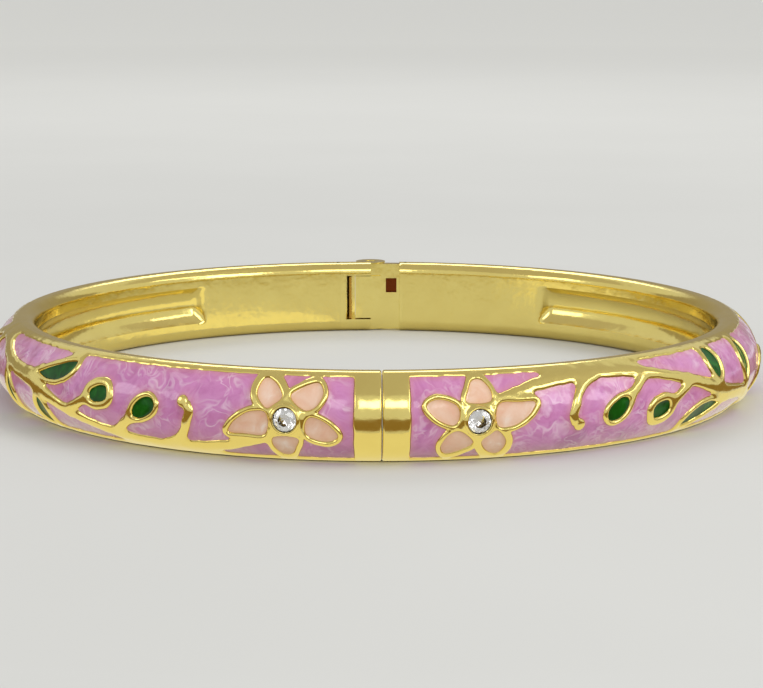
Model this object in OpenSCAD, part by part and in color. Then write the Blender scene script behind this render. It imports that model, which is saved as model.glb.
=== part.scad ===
// A hinged bangle: two cast half bands that meet at the front and turn on a pin at the back.
// Raised gold lines draw flowers and a leafy vine round the outside, with enamel between them.
// It lies on its side: the band's axis is Z, the front is at -Y and the hinge at +Y.

/* [Band] */
// Diameter of the opening for the wrist
inner_d = 60; // [54:0.5:68]
// Height of the band
band_h = 7; // [6.5:0.25:9]
// Thickness of the band at mid height
wall = 4; // [3.8:0.1:4.4]
// How far the outer face bulges past its edges
face_bulge = 2.4; // [2.2:0.05:2.6]
// Rounding of the edges next to the skin
edge_round = 1.0; // [0.7:0.05:1.1]
// Gap between the two front ends when the bangle is shut
front_gap = 0.16; // [0.12:0.01:0.3]

/* [Channel in the inner wall] */
// Height of the channel
channel_h = 3.6; // [2.5:0.1:4]
// Depth of the channel
channel_d = 0.9; // [0.5:0.1:1]
// Plain wall between the front or hinge line and the channel's end, along the band
channel_from = 20; // [16:0.5:22]

/* [Relief and enamel] */
// Height of the gold rim above and below the enamel
rim = 0.25; // [0.2:0.05:0.4]
// Depth of the cast cells under the gold lines
cell_depth = 0.5; // [0.4:0.05:0.6]
// How far the enamel lies below the top of the gold lines
enamel_sink = 0.18; // [0.1:0.02:0.24]
// Clearance round and under a piece of enamel
enamel_gap = 0.03; // [0.02:0.01:0.05]
// How far the gold lines stand above the rims
line_proud = 0.03; // [0.02:0.01:0.08]
// Width of the gold line round a petal or a leaf
line_w = 0.42; // [0.3:0.02:0.5]
// Width of the vine where it is widest
vine_w = 1.1; // [0.8:0.05:1.3]
// Width of the tendril in its middle
tendril_w = 0.72; // [0.5:0.02:0.9]
// Plain gold at each front end, along the band
front_cap = 2.2; // [1.6:0.1:3]
// Plain gold at each hinge end, along the band
hinge_cap = 4.5; // [4:0.1:6]

/* [Flowers and leaves] */
// Distance from a flower's stone to the middle of its petals
flower_r = 2.2; // [2:0.05:2.3]
// Length of a leaf
leaf_l = 2.5; // [2.1:0.05:2.7]
// Width of a leaf
leaf_w = 1.4; // [1.1:0.05:1.6]

/* [Stones] */
// Diameter of a stone
stone_d = 1.8; // [1.4:0.05:2]
// Height of a stone from its table to its point
stone_h = 1.0; // [0.7:0.05:1.2]
// Wall of the collar round a stone
collar_w = 0.27; // [0.2:0.01:0.35]
// How far the collar stands above the gold lines
collar_rise = 0.25; // [0.1:0.05:0.4]
// Clearance round a stone in its collar
stone_gap = 0.03; // [0.02:0.01:0.05]

/* [Hinge] */
// Radius of the knuckle and of the two lugs
knuckle_r = 1.5; // [1.3:0.05:1.6]
// Diameter of the hinge pin
pin_d = 1.0; // [0.8:0.05:1.2]
// How far the pin lies to the left of the middle
pin_side = 0.1; // [0:0.05:0.4]
// Height of each lug of the left half
lug_h = 1.25; // [1:0.05:1.6]
// Running clearance between the two halves at the hinge
hinge_gap = 0.1; // [0.06:0.01:0.15]
// Clearance of the pin in its bores
pin_gap = 0.03; // [0.02:0.01:0.05]
// Width of the spring's window left of the knuckle
window_w = 0.95; // [0.7:0.05:1.1]
// Thickness of the leaf spring
spring_t = 0.25; // [0.15:0.05:0.3]
// Where the right half's full section starts, right of the middle
step_side = 2.85; // [2.6:0.05:3.2]
// How far the right half's neck is set back from the inner wall
step_in = 0.8; // [0.5:0.05:1]
// How far the neck is set down from the top and the bottom of the band
step_down = 0.15; // [0.1:0.05:0.3]

/* [Hidden] */
$fn = 48;
// Where a flower's stone lies: share of the spray's length, and of band_h
FLOWER_ALONG = 0.104;
FLOWER_UP = 0.51;
// Outlines of the five petals round the stone, away from the bangle's own end and up, in shares of
// flower_r
PETALS = [
    [[-1.30, 0.91], [-1.09, 1.25], [-0.55, 1.11], [-0.16, 0.80], [-0.66, 0.36], [-1.05, 0.48]],
    [[0.16, 0.80], [0.43, 1.20], [0.91, 1.34], [1.05, 0.84], [0.70, 0.39], [0.41, 0.55]],
    [[0.70, 0.20], [1.27, 0.23], [1.80, -0.09], [2.11, -0.55], [1.59, -0.59], [0.73, -0.55]],
    [[-0.39, -0.68], [0.41, -0.66], [0.50, -1.00], [0.25, -1.36], [-0.09, -1.36], [-0.32, -1.05]],
    [[-1.82, -0.57], [-1.55, -0.18], [-1.02, 0.11], [-0.77, 0.02], [-0.68, -0.36], [-0.86, -0.64],
        [-1.45, -0.80]],
];
// The gold line round each petal, in shares of line_w
PETAL_LINES = [1.0, 1.5, 1.1, 1.0, 1.0];
// Leaves of one spray: place as shares of its length and of band_h, size as shares of leaf_l and leaf_w,
// the turn of the tip, how sharp the base and the tip are, the bow as a share of the leaf's own length,
// the gold line in shares of line_w, and the place where the leaf's stalk meets the vine
LEAF_ALONG = 0;
LEAF_UP = 1;
LEAF_LONG = 2;
LEAF_WIDE = 3;
LEAF_TURN = 4;
LEAF_BASE = 5;
LEAF_TIP = 6;
LEAF_BOW = 7;
LEAF_LINE = 8;
STALK_ALONG = 9;
STALK_UP = 10;
LEAVES = [
    [0.348, 0.505, 0.98, 1.00, -34, 0.45, 0.60, 0.02, 1.05, 0.413, 0.170],
    [0.442, 0.595, 0.78, 0.90, -14, 0.30, 0.35, 0.00, 1.65, 0.521, 0.330],
    [0.560, 0.775, 1.95, 0.85, -14, 0.50, 0.85, -0.06, 1.05, 0.650, 0.640],
    [0.606, 0.215, 0.95, 1.15, 76, 0.40, 0.55, 0.00, 1.10, 0.608, 0.480],
    [0.733, 0.310, 1.25, 1.00, 87, 0.50, 0.70, 0.05, 0.95, 0.733, 0.680],
    [0.886, 0.540, 1.05, 1.00, 128, 0.45, 0.60, 0.02, 1.05, 0.850, 0.900],
];
// The vine of one spray, as shares of its length, of band_h and of vine_w
VINE = [
    [0.137, 0.280, 0.45],
    [0.194, 0.170, 0.62],
    [0.275, 0.085, 0.85],
    [0.354, 0.080, 0.85],
    [0.432, 0.170, 0.62],
    [0.508, 0.293, 0.68],
    [0.581, 0.455, 0.95],
    [0.644, 0.600, 1.15],
    [0.706, 0.665, 1.00],
    [0.757, 0.765, 0.85],
    [0.806, 0.895, 0.80],
    [0.875, 0.915, 0.70],
    [0.938, 0.765, 0.66],
];
VINE_STEPS = 2;
// The tendril of one spray, from its foot on the vine to its knob: shares of the spray's length, of
// band_h and of tendril_w
TENDRIL_ALONG = 0.273;
TENDRIL = [
    [0.302, 0.090, 1.50],
    [0.278, 0.250, 0.95],
    [0.268, 0.400, 0.95],
    [0.263, 0.530, 1.00],
    [0.268, 0.620, 1.05],
];
KNOB_ALONG = 0.274;
KNOB_UP = 0.640;
KNOB_SHARE = 0.72;

// How far the tools that cut or trim the pattern reach out of the face, and past the bulge into the band
OUT_OF_FACE = 0.8;
INTO_BAND = 1.2;
// How far the gold lines and the collars are rooted in the band below the cells
LINE_ROOT = 0.2;
COLLAR_ROOT = 0.4;
// How far the lugs lie under the outer face and under the top and bottom, and the pin's ends under both
LUG_SINK = 0.05;
LUG_END = 0.05;
PIN_SINK = 0.1;
// Clearance of the leaf spring in its window
SPRING_CLEAR = 0.12;
// How far the left half is swept past the middle before it is cut flat at the pin
PAST_MIDDLE = 0.8;
// The small square socket in the neck: how far right of the middle, width, and depth behind the neck's
// face; its lower edge and its height are shares of band_h
SOCKET_SIDE = 1.45;
SOCKET_W = 1.1;
SOCKET_DEEP = 0.8;
SOCKET_UP = 0.56;
SOCKET_H = 0.21;
// How far a stalk starts inside its leaf's tip, and half its width at the vine as a share of vine_w
STALK_ROOT = 0.25;
STALK_FOOT = 1 / 3;
// A stone's table as a share of its radius, its crown and its girdle as shares of its height
TABLE_SHARE = 0.55;
CROWN_SHARE = 0.25;
GIRDLE_SHARE = 0.06;

face_r = (pow(band_h / 2, 2) + pow(face_bulge, 2)) / (2 * face_bulge);
rim_turn = asin((band_h / 2 - rim) / face_r);
inner_r = inner_d / 2;
outer_r = inner_r + wall;
half_arc = PI * outer_r;
spray_l = (half_arc - front_cap - hinge_cap) / 2;
pin_x = -pin_side;
pin_y = outer_r - knuckle_r - LUG_SINK;
far = band_h + 10;
stone_r = stone_d / 2;
collar_r = stone_r + stone_gap + collar_w;
channel_r = (pow(channel_h / 2, 2) + pow(channel_d, 2)) / (2 * channel_d);

SIDES = ["left", "right"];
ENDS = ["front", "back"];
function petal_name(side, end, i) = str(side, "_", end, "_petal_", i + 1);
function leaf_name(side, end, i) = str(side, "_", end, "_leaf_", i + 1);
function stone_name(side, end) = str(side, "_", end, "_stone");

// An arc length s is measured on the outer face of the left half, from the front line, and turn(s) is
// how far the outward direction has swung from -Y towards -X
function turn(s) = s / outer_r * 180 / PI;
function outward(s) = [-sin(turn(s)), -cos(turn(s))];
// A point of the left half: arc length, height, and depth under the widest line of the outer face
function on_band(s, up, depth = 0) = let (p = (outer_r - depth) * outward(s)) [p.x, p.y, up];
// Where a share of a spray's length lies on the half band, for the spray at either end
function spray_s(end, along) = front_cap + (end == "front" ? along : 2 - along) * spray_l;
function spray_up(end, up) = band_h * (end == "front" ? up : 1 - up);

// A smooth curve through rows of numbers, with the given steps between two rows
function spline_at(a, b, c, d, t) =
    0.5 * (2 * b + (c - a) * t + (2 * a - 5 * b + 4 * c - d) * t * t + (3 * b - a - 3 * c + d) * t * t * t);
function smooth(rows, steps) = concat(
    [for (i = [0 : len(rows) - 2], k = [0 : steps - 1])
        spline_at(rows[max(i - 1, 0)], rows[i], rows[i + 1], rows[min(i + 2, len(rows) - 1)], k / steps)],
    [rows[len(rows) - 1]]
);
function closed_smooth(rows, steps) = let (n = len(rows))
    [for (i = [0 : n - 1], k = [0 : steps - 1])
        spline_at(rows[(i + n - 1) % n], rows[i], rows[(i + 1) % n], rows[(i + 2) % n], k / steps)];

// Both sides of a strip whose rows give the middle and the width, as one outline
function strip(rows) = let (
    last = len(rows) - 1,
    sides = [for (k = [0 : last]) let (
        t = rows[min(k + 1, last)] - rows[max(k - 1, 0)],
        n = [-t.y, t.x] / norm([t.x, t.y]) * rows[k][2] / 2
    ) [[rows[k].x + n.x, rows[k].y + n.y], [rows[k].x - n.x, rows[k].y - n.y]]]
) concat([for (k = [0 : last]) sides[k][0]], [for (k = [last : -1 : 0]) sides[k][1]]);

// Lays children on the left half: X runs along the band away from the front, Y up, Z into the band
module on_left(s, up) {
    p = on_band(s, up);
    n = -outward(s);
    multmatrix([[-n.y, 0, n.x, p.x], [n.x, 0, n.y, p.y], [0, 1, 0, p.z], [0, 0, 0, 1]]) children();
}

// The same for a place in a spray: the spray at the hinge end is turned half round
module in_spray(end, along, up) {
    on_left(spray_s(end, along), spray_up(end, up)) rotate(end == "front" ? 0 : 180) children();
}

// Turns something made for the left half round to the right half
module on_side(side) {
    if (side == "left") children();
    else translate([0, 0, band_h]) rotate([0, 180, 0]) children();
}

// Sweeps a section along the left half, from one arc length to another. The section is drawn with
// X out from the inner wall and Y up.
module sweep_left(from, to) {
    rotate_extrude(angle = turn(to) - turn(from), start = 270 - turn(to), $fn = 180)
        translate([inner_r, 0]) children();
}

// The band's section: flat inside with rounded edges, flat above and below, and one arc outside
module band_section() {
    intersection() {
        difference() {
            square([wall + 1, band_h]);
            for (up = [0, 1]) translate([0, up * band_h]) mirror([0, up]) difference() {
                translate([-1, -1]) square(edge_round + 1);
                translate([edge_round, edge_round]) circle(edge_round);
            }
        }
        translate([wall - face_r, band_h / 2]) circle(face_r, $fn = 120);
    }
}

// A layer under the outer face, between two depths, inside the rims. Gap narrows it at both rims.
module face_layer(top, bottom, gap = 0) {
    a = rim_turn - gap / face_r * 180 / PI;
    l = (face_r + 2) / cos(a);
    translate([wall - face_r, band_h / 2]) intersection() {
        difference() {
            circle(face_r - top, $fn = 120);
            circle(face_r - bottom, $fn = 120);
        }
        polygon([[0, 0], l * [cos(a), -sin(a)], l * [cos(a), sin(a)]]);
    }
}

// Flat outlines of the pattern, seen from outside the left half
module petal_outline(i) {
    difference() {
        polygon(closed_smooth(flower_r * PETALS[i], 2));
        circle(collar_r + line_w / 4, $fn = 24);
    }
}

// A leaf along X, pointed at +X
function leaf_points(long, wide, base, tip, bow, steps = 5) = let (
    peak = base / (base + tip),
    top = pow(peak, base) * pow(1 - peak, tip)
) [for (k = [0 : 2 * steps - 1]) let (
    t = (1 - cos(180 * k / steps)) / 2,
    half = wide / 2 * pow(t, base) * pow(1 - t, tip) / top
) [long * (t - 0.5), (k < steps ? half : -half) + 4 * bow * long * t * (1 - t)]];

module leaf_outline(i) {
    r = LEAVES[i];
    rotate(r[LEAF_TURN])
        polygon(leaf_points(leaf_l * r[LEAF_LONG], leaf_w * r[LEAF_WIDE],
            r[LEAF_BASE], r[LEAF_TIP], r[LEAF_BOW]));
}

// A leaf's stalk, from inside the gold at the leaf's tip to the vine, widening towards the vine
module stalk_outline(i) {
    r = LEAVES[i];
    tip = leaf_l * r[LEAF_LONG] / 2 * [cos(r[LEAF_TURN]), sin(r[LEAF_TURN])];
    foot = [(r[STALK_ALONG] - r[LEAF_ALONG]) * spray_l, (r[STALK_UP] - r[LEAF_UP]) * band_h];
    run = foot - tip;
    side = [-run.y, run.x] / norm(run);
    root = tip - STALK_ROOT * run / norm(run);
    wide = STALK_FOOT * vine_w * side;
    polygon([root - line_w * side, foot - wide, foot + wide, root + line_w * side]);
}

module flower_lines(grow, open) {
    offset(delta = grow) difference() {
        union() {
            for (i = [0 : len(PETALS) - 1]) offset(delta = line_w * PETAL_LINES[i]) petal_outline(i);
            circle(collar_r + line_w, $fn = 24);
        }
        if (open) for (i = [0 : len(PETALS) - 1]) petal_outline(i);
    }
}

module leaf_lines(i, grow, open) {
    offset(delta = grow) difference() {
        union() {
            offset(delta = line_w * LEAVES[i][LEAF_LINE]) leaf_outline(i);
            stalk_outline(i);
        }
        if (open) leaf_outline(i);
    }
}

// The tendril rises from the vine in a bow and ends in a round knob
module tendril_lines(grow) {
    function flat(r) = [(r[0] - TENDRIL_ALONG) * spray_l, r[1] * band_h, r[2] * tendril_w];
    offset(delta = grow) {
        polygon(strip(smooth([for (r = TENDRIL) flat(r)], 2)));
        translate([(KNOB_ALONG - TENDRIL_ALONG) * spray_l, KNOB_UP * band_h])
            circle(KNOB_SHARE * tendril_w, $fn = 14);
    }
}

module through_face() {
    translate([0, 0, -OUT_OF_FACE]) linear_extrude(face_bulge + INTO_BAND + OUT_OF_FACE) children();
}

// The vine as one closed ribbon for the whole half: the sprays of both ends meet in its middle
module vine(grow) {
    spray = concat(VINE, [[1, 0.5, 0.68]]);
    back = [for (k = [len(VINE) - 1 : -1 : 0]) let (r = VINE[k]) [2 - r[0], 1 - r[1], r[2]]];
    rows = smooth(concat(spray, back), VINE_STEPS);
    path = [for (r = rows) [front_cap + r[0] * spray_l, r[1] * band_h, r[2] * vine_w + 2 * grow]];
    sides = strip(path);
    n = len(path);
    corners = [for (k = [0 : n - 1]) let (
        high = [sides[k].x, min(sides[k].y, band_h + 0.1)],
        low = [sides[2 * n - 1 - k].x, max(sides[2 * n - 1 - k].y, -0.1)]
    ) each [
        on_band(low.x, low.y, -OUT_OF_FACE), on_band(high.x, high.y, -OUT_OF_FACE),
        on_band(high.x, high.y, face_bulge + INTO_BAND), on_band(low.x, low.y, face_bulge + INTO_BAND)
    ]];
    polyhedron(corners, concat(
        [[0, 1, 2, 3]],
        [for (k = [0 : n - 2], c = [0 : 3]) let (a = 4 * k + c, b = 4 * k + (c + 1) % 4) each
            [[a, a + 4, b], [b, a + 4, b + 4]]],
        [[4 * n - 1, 4 * n - 2, 4 * n - 3, 4 * n - 4]]
    ));
}

// All gold lines of the left half as bodies through the outer face. Open leaves the cells of the
// petals and leaves free.
module gold_lines(grow = 0, open = true) {
    vine(grow);
    for (end = ENDS) {
        in_spray(end, FLOWER_ALONG, FLOWER_UP) through_face() flower_lines(grow, open);
        in_spray(end, TENDRIL_ALONG, 0) through_face() tendril_lines(grow);
        for (i = [0 : len(LEAVES) - 1])
            in_spray(end, LEAVES[i][LEAF_ALONG], LEAVES[i][LEAF_UP])
                through_face() leaf_lines(i, grow, open);
    }
}

// The raised lines of the left half, cut off at their height above the rims and sunk under the cells
module relief() {
    intersection() {
        sweep_left(front_cap - rim, half_arc - hinge_cap + rim)
            face_layer(-line_proud, cell_depth + LINE_ROOT, -rim / 2);
        gold_lines();
    }
    for (end = ENDS) in_spray(end, FLOWER_ALONG, FLOWER_UP)
        translate([0, 0, -collar_rise]) cylinder(r = collar_r, h = collar_rise + cell_depth + COLLAR_ROOT);
}

// Bores for the two stones of the left half
module stone_bores() {
    for (end = ENDS) in_spray(end, FLOWER_ALONG, FLOWER_UP)
        translate([0, 0, -1]) cylinder(r = stone_r + stone_gap, h = stone_h + 1);
}

// One half band without its relief: long reaches past the hinge line by that arc length
module half_band(long) {
    difference() {
        sweep_left(0, half_arc + long) band_section();
        sweep_left(front_cap, half_arc - hinge_cap) face_layer(-OUT_OF_FACE / 2, cell_depth);
        sweep_left(channel_from, half_arc - channel_from)
            translate([channel_d - channel_r, band_h / 2]) circle(channel_r);
        translate([-front_gap / 2, -outer_r - 1, -1]) cube([far, far, band_h + 2]);
    }
}

module at_pin(r, low, high) {
    translate([pin_x, pin_y, low]) cylinder(r = r, h = high - low);
}

module left_band() {
    color([0.86, 0.74, 0.36]) difference() {
        union() {
            difference() {
                // the band ends at the pin in two round lugs, as high as the band
                union() {
                    difference() {
                        half_band(PAST_MIDDLE);
                        translate([pin_x, 0, -1]) cube([far, outer_r + 1, band_h + 2]);
                    }
                    at_pin(knuckle_r, LUG_END, lug_h);
                    at_pin(knuckle_r, band_h - lug_h, band_h - LUG_END);
                }
                // room for the right half's knuckle, open to the outside so that its neck can swing
                at_pin(knuckle_r + hinge_gap, lug_h, band_h - lug_h);
                translate([pin_x - knuckle_r - hinge_gap, pin_y, lug_h])
                    cube([knuckle_r + hinge_gap, 2 * knuckle_r, band_h - 2 * lug_h]);
                // the spring's window, open to the inside
                translate([pin_x - knuckle_r - hinge_gap - window_w, inner_r - 1, lug_h])
                    cube([window_w + knuckle_r, pin_y - inner_r + 1, band_h - 2 * lug_h]);
                at_pin(pin_d / 2 + pin_gap, -1, band_h + 1);
            }
            relief();
        }
        stone_bores();
    }
}

module right_band() {
    mid_low = lug_h + hinge_gap;
    mid_high = band_h - lug_h - hinge_gap;
    color([0.86, 0.74, 0.36]) difference() {
        union() {
            difference() {
                union() {
                    difference() {
                        on_side("right") half_band(pin_side);
                        // the neck stands back from the inner wall and from both edges
                        difference() {
                            translate([pin_x - 1, inner_r - 1, -1])
                                cube([step_side - pin_x + 1, step_in + 1, band_h + 2]);
                            at_pin(knuckle_r, -2, band_h + 3);
                        }
                        for (low = [-1, band_h - step_down])
                            translate([pin_x - 1, inner_r - 1, low])
                                cube([step_side - pin_x + 1, wall + 2, 1 + step_down]);
                        // room for the left half's lugs
                        at_pin(knuckle_r + hinge_gap, -1, mid_low);
                        at_pin(knuckle_r + hinge_gap, mid_high, band_h + 1);
                        // nothing but the knuckle lies left of the pin
                        translate([pin_x - far, 0, -1]) cube([far, outer_r + 1, band_h + 2]);
                    }
                    at_pin(knuckle_r, mid_low, mid_high);
                }
                at_pin(pin_d / 2 + 2 * pin_gap, -1, band_h + 1);
                // the small square socket in the neck
                translate([SOCKET_SIDE, inner_r, SOCKET_UP * band_h])
                    cube([SOCKET_W, step_in + SOCKET_DEEP, SOCKET_H * band_h]);
            }
            on_side("right") relief();
        }
        on_side("right") stone_bores();
    }
}

module hinge_pin() {
    color([0.8, 0.68, 0.34]) at_pin(pin_d / 2, PIN_SINK, band_h - PIN_SINK);
}

// A short bowed leaf that stands in the window beside the knuckle
module hinge_spring() {
    bow_r = 2 * knuckle_r;
    deep = pin_y - inner_r - SPRING_CLEAR;
    swing = asin(deep / 2 / bow_r);
    x = pin_x - knuckle_r - hinge_gap - window_w + SPRING_CLEAR;
    color([0.72, 0.5, 0.2]) translate([x + bow_r, inner_r + deep / 2, lug_h + SPRING_CLEAR])
        rotate_extrude(angle = 2 * swing, start = 180 - swing) translate([bow_r - spring_t, 0])
            square([spring_t, band_h - 2 * (lug_h + SPRING_CLEAR)]);
}

module ground(side) {
    color([0.78, 0.55, 0.76]) on_side(side) difference() {
        sweep_left(front_cap + enamel_gap, half_arc - hinge_cap - enamel_gap)
            face_layer(enamel_sink, cell_depth - enamel_gap, enamel_gap);
        gold_lines(enamel_gap, false);
    }
}

// A piece of enamel that fills the cell of an outline, laid at a place in a spray
module enamel(side, end, along, up, half_long) {
    s = spray_s(end, along);
    on_side(side) intersection() {
        sweep_left(s - half_long, s + half_long)
            face_layer(enamel_sink, cell_depth - enamel_gap, enamel_gap);
        in_spray(end, along, up) through_face() offset(delta = -enamel_gap) children();
    }
}

module petal(side, end, i) {
    color([0.93, 0.77, 0.7])
        enamel(side, end, FLOWER_ALONG, FLOWER_UP, 3 * flower_r) petal_outline(i);
}

module leaf(side, end, i) {
    color([0.1, 0.36, 0.12])
        enamel(side, end, LEAVES[i][LEAF_ALONG], LEAVES[i][LEAF_UP], 2 * leaf_l) leaf_outline(i);
}

// A round brilliant: an eight-sided table, a sixteen-sided girdle and a point
module stone(side, end) {
    table_r = TABLE_SHARE * stone_r;
    table = [for (k = [0 : 7]) [table_r * cos(45 * k), table_r * sin(45 * k), -CROWN_SHARE * stone_h]];
    girdle = [for (z = [0, GIRDLE_SHARE * stone_h], k = [0 : 15])
        [stone_r * cos(22.5 * k), stone_r * sin(22.5 * k), z]];
    color([0.92, 0.94, 0.96]) on_side(side) in_spray(end, FLOWER_ALONG, FLOWER_UP)
        polyhedron(concat(table, girdle, [[0, 0, (1 - CROWN_SHARE) * stone_h]]), concat(
            [[for (k = [0 : 7]) k]],
            [for (k = [0 : 7]) let (next = (k + 1) % 8, g = 8 + 2 * k, j = 8 + (2 * k + 2) % 16)
                each [[k, g, g + 1], [k, g + 1, next], [next, g + 1, j]]],
            [for (k = [0 : 15]) let (a = 8 + k, b = 8 + (k + 1) % 16) each
                [[a, a + 16, b], [b, a + 16, b + 16], [a + 16, 40, b + 16]]]
        ));
}

left_band();
right_band();
hinge_pin();
hinge_spring();
ground("left");  // left_ground
ground("right");  // right_ground
for (side = SIDES, end = ENDS) {
    stone(side, end);
    for (i = [0 : len(PETALS) - 1])
        petal(side, end, i);
    for (i = [0 : len(LEAVES) - 1])
        leaf(side, end, i);
}
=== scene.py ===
"""Looks of the hinged bangle: cast gold relief, enamel in its cells, set stones, hinge, floor and lights."""
import math

import bmesh
import bpy
import numpy as np
from mathutils import Matrix, Vector
from mathutils.geometry import delaunay_2d_cdt


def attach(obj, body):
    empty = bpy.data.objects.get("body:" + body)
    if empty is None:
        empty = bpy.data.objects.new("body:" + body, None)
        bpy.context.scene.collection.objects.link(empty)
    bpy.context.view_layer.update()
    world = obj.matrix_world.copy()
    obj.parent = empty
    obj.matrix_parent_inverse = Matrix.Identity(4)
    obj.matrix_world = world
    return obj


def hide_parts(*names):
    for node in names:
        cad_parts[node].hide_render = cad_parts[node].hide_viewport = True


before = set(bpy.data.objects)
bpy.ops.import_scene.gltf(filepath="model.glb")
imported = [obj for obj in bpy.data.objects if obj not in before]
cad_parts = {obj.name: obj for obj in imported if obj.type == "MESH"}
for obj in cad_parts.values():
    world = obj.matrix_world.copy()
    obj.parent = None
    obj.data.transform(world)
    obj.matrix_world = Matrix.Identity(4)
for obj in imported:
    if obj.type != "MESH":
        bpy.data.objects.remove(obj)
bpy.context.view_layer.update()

# Sizes are in millimetres, as in the part's source. MM turns them into Blender's metres.
MM = 0.001
BAND_H = 7.0
INNER_R = 30.0
WALL = 4.0
OUTER_R = INNER_R + WALL
FACE_BULGE = 2.4
FACE_R = ((BAND_H / 2) ** 2 + FACE_BULGE ** 2) / (2 * FACE_BULGE)
EDGE_ROUND = 1.0
FRONT_GAP = 0.06
CHANNEL_H = 3.6
CHANNEL_D = 0.9
CHANNEL_R = ((CHANNEL_H / 2) ** 2 + CHANNEL_D ** 2) / (2 * CHANNEL_D)
CHANNEL_FROM = 20.0
RIM = 0.25
CELL_DEPTH = 0.5
ENAMEL_FLOOR = 0.47
LINE_PROUD = 0.03
LINE_W = 0.42
VINE_W = 1.1
TENDRIL_W = 0.72
FRONT_CAP = 2.2
HINGE_CAP = 4.5
FLOWER_R = 2.2
LEAF_L = 2.5
LEAF_W = 1.4
STONE_R = 0.9
STONE_H = 1.0
COLLAR_R = 1.2
COLLAR_RISE = 0.25
BORE_R = 0.93
HALF_ARC = math.pi * OUTER_R
SPRAY_L = (HALF_ARC - FRONT_CAP - HINGE_CAP) / 2
MIDDLE = FRONT_CAP + SPRAY_L

# The hinge
KNUCKLE_R = 1.5
PIN_R = 0.5
PIN_X = -0.1
LUG_SINK = 0.05
PIN_Y = OUTER_R - KNUCKLE_R - LUG_SINK
LUG_H = 1.25
HINGE_GAP = 0.1
WINDOW_W = 0.95
STEP_SIDE = 2.85
STEP_IN = 0.8
STEP_DOWN = 0.15
SOCKET = ((1.45, INNER_R, 0.56 * BAND_H), (2.55, INNER_R + STEP_IN + 0.8, 0.77 * BAND_H))
KNUCKLE_FLAT = 0.3
SOFT_EDGE = 0.07
SHARP = 38
TUCK = 0.002

# The pattern of one spray: shares of the spray's length, of the band's height and of the named widths
FLOWER_ALONG = 0.104
FLOWER_UP = 0.51
PETALS = [
    [(-1.30, 0.91), (-1.09, 1.25), (-0.55, 1.11), (-0.16, 0.80), (-0.66, 0.36), (-1.05, 0.48)],
    [(0.16, 0.80), (0.43, 1.20), (0.91, 1.34), (1.05, 0.84), (0.70, 0.39), (0.41, 0.55)],
    [(0.70, 0.20), (1.27, 0.23), (1.80, -0.09), (2.11, -0.55), (1.59, -0.59), (0.73, -0.55)],
    [(-0.39, -0.68), (0.41, -0.66), (0.50, -1.00), (0.25, -1.36), (-0.09, -1.36), (-0.32, -1.05)],
    [(-1.82, -0.57), (-1.55, -0.18), (-1.02, 0.11), (-0.77, 0.02), (-0.68, -0.36), (-0.86, -0.64),
     (-1.45, -0.80)],
]
PETAL_LINES = [1.0, 1.5, 1.1, 1.0, 1.0]
# along, up, long, wide, turn, base, tip, bow, line, stalk along, stalk up
LEAVES = [
    (0.348, 0.505, 0.98, 1.00, -34, 0.45, 0.60, 0.02, 1.05, 0.413, 0.170),
    (0.442, 0.595, 0.78, 0.90, -14, 0.30, 0.35, 0.00, 1.65, 0.521, 0.330),
    (0.560, 0.775, 1.95, 0.85, -14, 0.50, 0.85, -0.06, 1.05, 0.650, 0.640),
    (0.606, 0.215, 0.95, 1.15, 76, 0.40, 0.55, 0.00, 1.10, 0.608, 0.480),
    (0.733, 0.310, 1.25, 1.00, 87, 0.50, 0.70, 0.05, 0.95, 0.733, 0.680),
    (0.886, 0.540, 1.05, 1.00, 128, 0.45, 0.60, 0.02, 1.05, 0.850, 0.900),
]
VINE = [
    (0.137, 0.280, 0.45), (0.194, 0.170, 0.62), (0.275, 0.085, 0.85), (0.354, 0.080, 0.85),
    (0.432, 0.170, 0.62), (0.508, 0.293, 0.68), (0.581, 0.455, 0.95), (0.644, 0.600, 1.15),
    (0.706, 0.665, 1.00), (0.757, 0.765, 0.85), (0.806, 0.895, 0.80), (0.875, 0.915, 0.70),
    (0.938, 0.765, 0.66),
]
TENDRIL = [
    (0.302, 0.090, 1.50), (0.278, 0.250, 0.95), (0.268, 0.400, 0.95), (0.263, 0.530, 1.00),
    (0.268, 0.620, 1.05),
]
KNOB = (0.274, 0.640, 0.68)

# The fine relief: roundings, the webs where lines meet, and the unevenness of the hand-finished casting
LINE_ROUND = 0.21
RIM_ROUND = 0.12
END_ROUND = 0.2
PETAL_WEB = 0.18
LINE_WEB = 0.6
LINE_WOBBLE = 0.02
FACE_WOBBLE = 0.012
LINE_CROWN = 0.05
COLLAR_GROOVE = 0.05
COLLAR_ROUND = 0.14
ENAMEL_DROP = 0.2
ENAMEL_CREEP = 0.06
CREEP_RUN = 0.1
CUP = ((BORE_R, 0.0), (BORE_R, 0.12), (0.6, 0.45), (0.3, 0.7), (0.08, 0.85))

# Steps of the fine mesh, and the depths inside a gold line at which its rounded profile gets a row of points
GRID_STEP = 0.05
CURVE_STEPS = 5
CONTOUR_STEP = 0.11
WIDE_STEP = 0.16
LINE_ROWS = (0.0, 0.035, 0.09, 0.15, 0.21, 0.30)
ENAMEL_ROWS = (-0.07, -0.18)
COLLAR_ROWS = (0.93, 0.95, 0.99, 1.04, 1.09, 1.13, 1.16, 1.18, 1.195)
COLLAR_POINTS = 48
SHEET_EDGE = 0.05
SHEET_END = HALF_ARC - HINGE_CAP + 0.9
SHEET_ROWS = 330
END_ROWS = 36
WALL_ROWS = 37
FILL_ALONG = 0.27
FILL_UP = 0.25


# Outlines of the pattern

def spline_at(a, b, c, d, t):
    """A point of the smooth curve through b and c."""
    return 0.5 * (2 * b + (c - a) * t + (2 * a - 5 * b + 4 * c - d) * t * t
                  + (3 * b - a - 3 * c + d) * t ** 3)


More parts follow.
